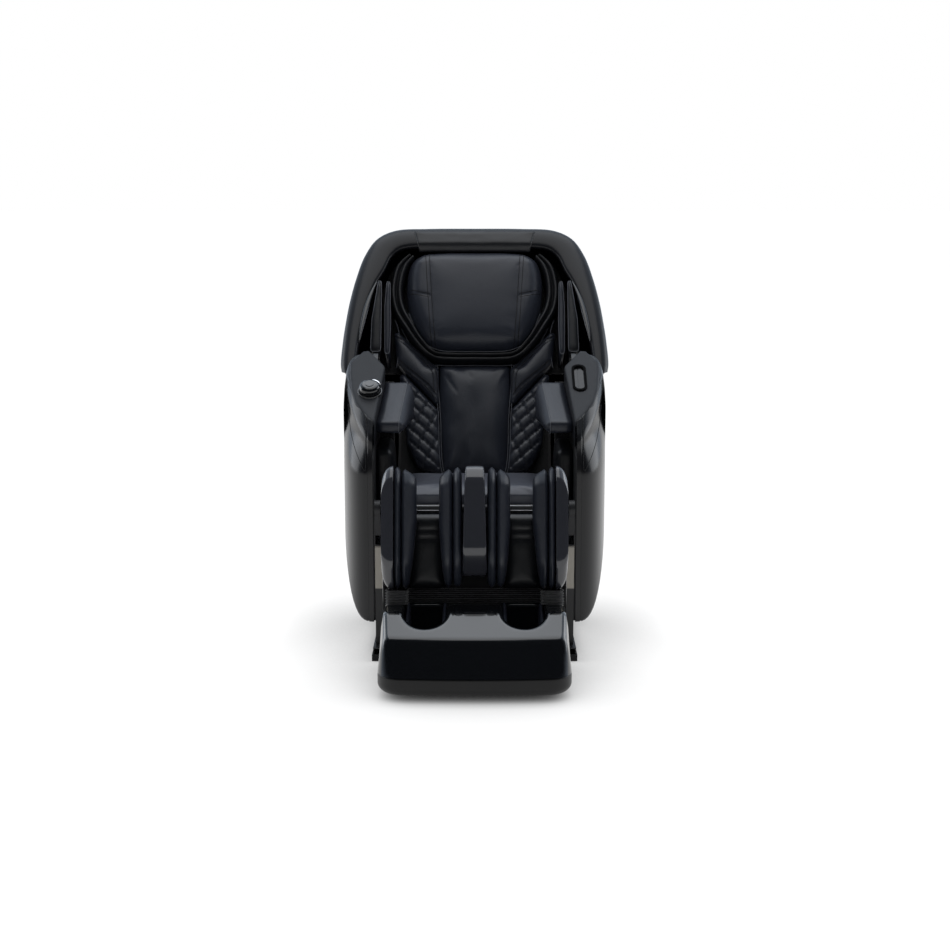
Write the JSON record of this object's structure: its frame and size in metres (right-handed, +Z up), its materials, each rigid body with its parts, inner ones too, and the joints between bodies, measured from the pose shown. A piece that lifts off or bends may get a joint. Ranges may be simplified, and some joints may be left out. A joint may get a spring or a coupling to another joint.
{
  "type": "massage chair",
  "caption": "Reclining massage chair: hooded backrest with a roller carriage, side shells with armrests, dial and phone pocket, lifting calf unit and telescoping foot unit.",
  "frame": {"origin": "on the floor, midway across the chair and midway between its front and its back", "axes": "+Z up, -Y towards the sitter's feet, +X to the right of someone who faces the chair"},
  "size_m": [0.8156, 1.3942, 1.1873],
  "materials": {
    "painted_steel": "cream powder coat",
    "foot_rubber": "matte",
    "bright_steel": "ground",
    "roller_rubber": "matte",
    "satin_plastic": "fine texture",
    "shell_plastic": "satin",
    "gloss_plastic": "piano black",
    "bright_chrome": "polished",
    "black_leather": "soft sheen",
    "sleeve_cloth": "pleated cloth"
  },
  "bodies": {
    "base": {"floor_frame": "painted_steel", "rail_feet": "foot_rubber", "tilt_shaft": "bright_steel", "power_box": "satin_plastic", "power_inlet": "satin_plastic", "air_pump": "satin_plastic", "tilt_actuator": "satin_plastic"},
    "switch": {"power_switch": "gloss_plastic"},
    "lift_rod": {"tilt_rod": "bright_steel"},
    "left_wheel": {"wheel_left": "roller_rubber"},
    "right_wheel": {"wheel_right": "roller_rubber"},
    "seat": {"seat_frame": "painted_steel", "seat_cushion": "black_leather", "side_panel_left": "shell_plastic", "side_panel_right": "shell_plastic", "inner_liners": "satin_plastic", "armrest_left": "shell_plastic", "armrest_right": "shell_plastic", "forearm_pads": "black_leather", "lower_arm_pads": "black_leather", "back_shaft": "bright_steel", "leg_shaft": "bright_steel", "dial_bezel": "bright_chrome", "phone_pocket": "gloss_plastic", "recline_actuator": "satin_plastic", "leg_motor": "satin_plastic", "seat_apron": "black_leather"},
    "knob": {"dial": "gloss_plastic"},
    "knob_button": {"dial_button": "bright_chrome"},
    "pull_rod": {"recline_rod": "bright_steel"},
    "backrest": {"back_frame": "painted_steel", "back_board": "satin_plastic", "back_cover": "shell_plastic", "hood": "shell_plastic", "back_pad": "black_leather", "quilt_pad_left": "black_leather", "quilt_pad_right": "black_leather", "shoulder_bands": "black_leather", "neck_collar": "black_leather", "head_pillow": "black_leather", "shoulder_pad_left": "black_leather", "shoulder_pad_right": "black_leather"},
    "carriage": {"massage_carriage": "bright_steel"},
    "left_arm": {"roller_arm_left": "bright_steel"},
    "right_arm": {"roller_arm_right": "bright_steel"},
    "upper_left_roller": {"roller_upper_left": "roller_rubber"},
    "lower_left_roller": {"roller_lower_left": "roller_rubber"},
    "upper_right_roller": {"roller_upper_right": "roller_rubber"},
    "lower_right_roller": {"roller_lower_right": "roller_rubber"},
    "calf_unit": {"calf_frame": "satin_plastic", "calf_cover_left": "gloss_plastic", "calf_cover_right": "gloss_plastic", "calf_divider": "gloss_plastic", "calf_pads": "black_leather", "leg_bellows": "sleeve_cloth"},
    "foot_unit": {"slide_rods": "bright_steel", "foot_cover": "gloss_plastic", "foot_skirt": "shell_plastic", "foot_pads": "black_leather"},
    "sole_rollers": {"foot_rollers": "roller_rubber"}
  },
  "joints": [
    {"name": "zero_gravity_tilt", "type": "hinge", "parent": "base", "child": "seat", "pos_m": [0, 0.11, 0.23], "axis": [-1, 0, 0], "range_deg": [0, 14]},
    {"name": "lift_rod_slide", "type": "slide", "parent": "base", "child": "lift_rod", "axis": [0, 0, 1], "range_m": [0, 0.072]},
    {"name": "left_wheel_spin", "type": "hinge", "parent": "base", "child": "left_wheel", "pos_m": [-0.243, 0.3, 0.028], "axis": [-1, 0, 0], "continuous": true},
    {"name": "right_wheel_spin", "type": "hinge", "parent": "base", "child": "right_wheel", "pos_m": [0.243, 0.3, 0.028], "axis": [-1, 0, 0], "continuous": true},
    {"name": "power_switch_rock", "type": "hinge", "parent": "base", "child": "switch", "pos_m": [0, 0.272, 0.084], "axis": [-1, 0, 0], "range_deg": [0, 12]},
    {"name": "dial_turn", "type": "hinge", "parent": "seat", "child": "knob", "pos_m": [-0.303, -0.08175, 0.74118], "axis": [0, -0.4939, 0.8695], "continuous": true},
    {"name": "dial_button_press", "type": "slide", "parent": "knob", "child": "knob_button", "axis": [0, 0.4939, -0.8695], "range_m": [0, 0.0025], "stiffness_N_per_m": 800, "springref_m": -0.0015},
    {"name": "back_recline", "type": "hinge", "parent": "seat", "child": "backrest", "pos_m": [0, 0.15, 0.4], "axis": [-1, 0, 0], "range_deg": [0, 45]},
    {"name": "pull_rod_slide", "type": "slide", "parent": "seat", "child": "pull_rod", "axis": [0, -1, 0], "range_m": [0, 0.076]},
    {"name": "carriage_travel", "type": "slide", "parent": "backrest", "child": "carriage", "axis": [0, 0.5, 0.866], "range_m": [0, 0.48]},
    {"name": "left_arm_rock", "type": "hinge", "parent": "carriage", "child": "left_arm", "pos_m": [-0.049, 0.25539, 0.55854], "axis": [-1, 0, 0], "range_deg": [-10, 10]},
    {"name": "upper_left_roller_spin", "type": "hinge", "parent": "left_arm", "child": "upper_left_roller", "pos_m": [-0.069, 0.28439, 0.60877], "axis": [-1, 0, 0], "continuous": true},
    {"name": "lower_left_roller_spin", "type": "hinge", "parent": "left_arm", "child": "lower_left_roller", "pos_m": [-0.069, 0.22639, 0.50831], "axis": [-1, 0, 0], "continuous": true},
    {"name": "right_arm_rock", "type": "hinge", "parent": "carriage", "child": "right_arm", "pos_m": [0.049, 0.25539, 0.55854], "axis": [-1, 0, 0], "range_deg": [-10, 10]},
    {"name": "upper_right_roller_spin", "type": "hinge", "parent": "right_arm", "child": "upper_right_roller", "pos_m": [0.069, 0.28439, 0.60877], "axis": [-1, 0, 0], "continuous": true},
    {"name": "lower_right_roller_spin", "type": "hinge", "parent": "right_arm", "child": "lower_right_roller", "pos_m": [0.069, 0.22639, 0.50831], "axis": [-1, 0, 0], "continuous": true},
    {"name": "leg_lift", "type": "hinge", "parent": "seat", "child": "calf_unit", "pos_m": [0, -0.28, 0.435], "axis": [-1, 0, 0], "range_deg": [0, 78]},
    {"name": "foot_extend", "type": "slide", "parent": "calf_unit", "child": "foot_unit", "axis": [0, -0.2079, -0.9781], "range_m": [0, 0.15], "deforming": ["leg_bellows"]},
    {"name": "sole_roller_spin", "type": "hinge", "parent": "foot_unit", "child": "sole_rollers", "pos_m": [0, -0.52, 0.046], "axis": [-1, 0, 0], "continuous": true}
  ],
  "couplings": [
    {"joint": "lift_rod_slide", "follows": "zero_gravity_tilt", "m_per_rad": 0.29},
    {"joint": "pull_rod_slide", "follows": "back_recline", "m_per_rad": 0.0949}
  ]
}
